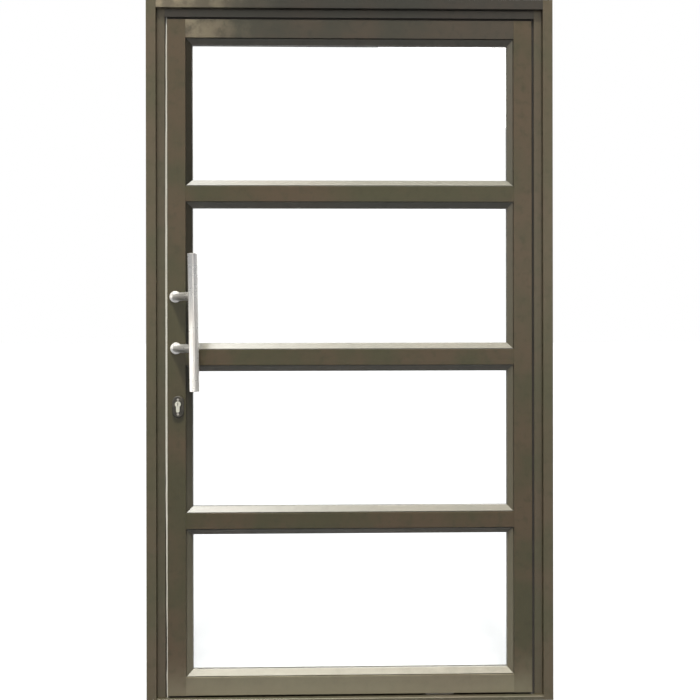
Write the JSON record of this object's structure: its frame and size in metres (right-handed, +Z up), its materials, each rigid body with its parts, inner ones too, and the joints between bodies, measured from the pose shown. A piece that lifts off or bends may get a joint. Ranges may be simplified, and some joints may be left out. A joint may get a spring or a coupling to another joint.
{
  "type": "glass pivot door with frame",
  "caption": "Bronze aluminium entrance door with stacked clear panes, slanted-post pull bars, cylinder deadlock and offset pivots, in its own frame and sill.",
  "frame": {"origin": "on the floor under the middle of the sill, midway through the leaf's thickness", "axes": "+Z up, +X to the right seen from outdoors (the pivot side), +Y towards indoors"},
  "size_m": [1.2, 0.189, 2.075],
  "materials": {
    "frame_bronze": "satin bronze anodised",
    "sill_bronze": "worn satin bronze anodised",
    "leaf_bronze": "satin bronze anodised",
    "bead_bronze": "satin bronze anodised",
    "clear_glass": "clear, polished",
    "gasket_rubber": "matt black",
    "pile_pale": "pale woven pile",
    "pile_dark": "dark woven pile",
    "handle_steel": "satin stainless",
    "plate_steel": "plain steel",
    "screw_steel": "bright zinc",
    "escutcheon_dark": "dark bronze coat",
    "cylinder_nickel": "satin nickel plated",
    "block_plastic": "matt",
    "washer_brass": "plain"
  },
  "bodies": {
    "frame": {"jamb_lock_side": "frame_bronze", "jamb_pivot_side": "frame_bronze", "head": "frame_bronze", "sill": "sill_bronze", "liner_lock_side": "frame_bronze", "liner_pivot_side": "frame_bronze", "liner_head": "frame_bronze", "pile_seal_lock_side": "pile_pale", "pile_seals_dark": "pile_dark", "strike_plate": "plate_steel", "bottom_pivot_plate": "plate_steel", "thrust_washer": "washer_brass", "top_pivot_plate": "plate_steel", "frame_plate_screws": "screw_steel", "frame_corner_screws": "screw_steel"},
    "leaf": {"stile_lock_side": "leaf_bronze", "stile_pivot_side": "leaf_bronze", "top_rail": "leaf_bronze", "mid_rail_1": "leaf_bronze", "mid_rail_2": "leaf_bronze", "mid_rail_3": "leaf_bronze", "bottom_rail": "leaf_bronze", "glass_pane_1": "clear_glass", "glass_pane_2": "clear_glass", "glass_pane_3": "clear_glass", "glass_pane_4": "clear_glass", "bead_top_1": "bead_bronze", "bead_bottom_1": "bead_bronze", "bead_left_1": "bead_bronze", "bead_right_1": "bead_bronze", "bead_top_2": "bead_bronze", "bead_bottom_2": "bead_bronze", "bead_left_2": "bead_bronze", "bead_right_2": "bead_bronze", "bead_top_3": "bead_bronze", "bead_bottom_3": "bead_bronze", "bead_left_3": "bead_bronze", "bead_right_3": "bead_bronze", "bead_top_4": "bead_bronze", "bead_bottom_4": "bead_bronze", "bead_left_4": "bead_bronze", "bead_right_4": "bead_bronze", "glazing_gaskets_outer": "gasket_rubber", "glazing_gaskets_inner": "gasket_rubber", "setting_blocks": "block_plastic", "leaf_screws": "screw_steel", "lock_case": "plate_steel", "cylinder_body": "cylinder_nickel", "escutcheon_outer": "escutcheon_dark", "escutcheon_inner": "escutcheon_dark", "pull_handle_outer": "handle_steel", "pull_handle_inner": "handle_steel", "handle_bolts": "plate_steel", "bottom_pivot_shoe": "plate_steel", "top_pivot_shoe": "plate_steel", "top_pivot_pin": "plate_steel", "bottom_sweep": "pile_dark"},
    "deadbolt": {"deadbolt": "plate_steel"},
    "cylinder_plug_outer": {"cylinder_plug_outer": "cylinder_nickel"},
    "cylinder_plug_inner": {"cylinder_plug_inner": "cylinder_nickel"}
  },
  "joints": [
    {"name": "leaf_turn", "type": "hinge", "parent": "frame", "child": "leaf", "pos_m": [0.265, 0, 0.019], "axis": [0, 0, -1], "range_deg": [0, 90]},
    {"name": "key_turn_outer", "type": "hinge", "parent": "leaf", "child": "cylinder_plug_outer", "pos_m": [-0.508, 0, 0.88], "axis": [0, -1, 0], "range_deg": [0, 360]},
    {"name": "key_turn_inner", "type": "hinge", "parent": "leaf", "child": "cylinder_plug_inner", "pos_m": [-0.508, 0, 0.88], "axis": [0, 1, 0], "range_deg": [0, 360]},
    {"name": "bolt_throw", "type": "slide", "parent": "leaf", "child": "deadbolt", "axis": [-1, 0, 0], "range_m": [0, 0.02]}
  ],
  "couplings": [
    {"joint": "key_turn_outer", "follows": "bolt_throw", "rad_per_m": 314.16}
  ]
}
